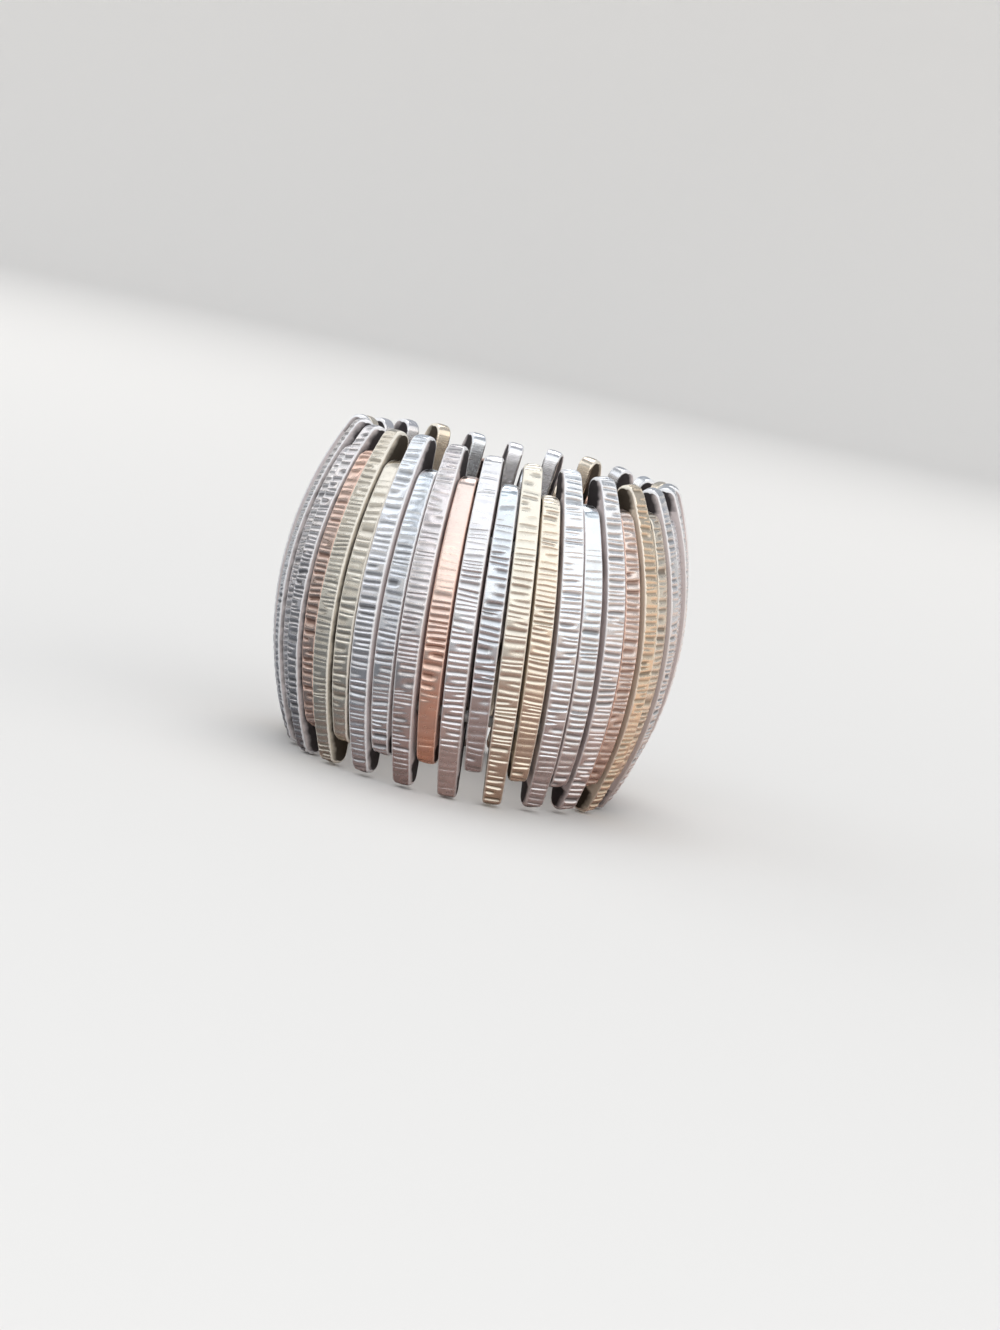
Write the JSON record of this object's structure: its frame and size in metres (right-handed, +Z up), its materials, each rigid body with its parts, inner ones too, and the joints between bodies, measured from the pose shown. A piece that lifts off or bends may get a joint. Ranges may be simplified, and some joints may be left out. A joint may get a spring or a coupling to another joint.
{
  "type": "stretch ring",
  "caption": "Wide stretch ring of upright reeded metal bars, long and short by turns in silver, pale gold and copper, threaded on two hidden loops of elastic cord.",
  "frame": {"origin": "on the axis of the finger hole, at the height of the flat surface on which the ring lies on its side, resting on the lower tips of its long bars", "axes": "+Z up, along the axis of the finger hole; -Y towards the side that faces the picture's viewer; +X to that viewer's right"},
  "size_m": [0.0266, 0.0267, 0.0217],
  "materials": {
    "silver": "polished silver plate, reeded and slightly darkened in the grooves",
    "gold": "pale champagne gold plate, reeded and slightly darkened in the grooves",
    "copper": "copper plate, reeded and slightly darkened in the grooves",
    "elastic": "clear-white elastic cord"
  },
  "bodies": {
    "root": {"long_bar_01": "silver", "short_bar_01": "silver", "long_bar_02": "silver", "short_bar_02": "copper", "long_bar_03": "gold", "short_bar_03": "gold", "long_bar_04": "silver", "short_bar_04": "silver", "long_bar_05": "silver", "short_bar_05": "copper", "long_bar_06": "silver", "short_bar_06": "silver", "long_bar_07": "gold", "short_bar_07": "gold", "long_bar_08": "silver", "short_bar_08": "silver", "long_bar_09": "silver", "short_bar_09": "copper", "long_bar_10": "gold", "short_bar_10": "gold", "long_bar_11": "silver", "short_bar_11": "silver", "long_bar_12": "silver", "short_bar_12": "copper", "long_bar_13": "silver", "short_bar_13": "silver", "long_bar_14": "gold", "short_bar_14": "gold", "long_bar_15": "silver", "short_bar_15": "silver", "long_bar_16": "silver", "short_bar_16": "copper", "long_bar_17": "gold", "short_bar_17": "gold", "long_bar_18": "silver", "short_bar_18": "silver", "long_bar_19": "silver", "short_bar_19": "copper", "long_bar_20": "silver", "short_bar_20": "silver", "long_bar_21": "gold", "short_bar_21": "gold", "long_bar_22": "silver", "short_bar_22": "silver", "long_bar_23": "silver", "short_bar_23": "copper", "long_bar_24": "gold", "short_bar_24": "gold", "long_bar_25": "silver", "short_bar_25": "silver", "elastic_upper": "elastic", "elastic_lower": "elastic"}
  },
  "joints": []
}
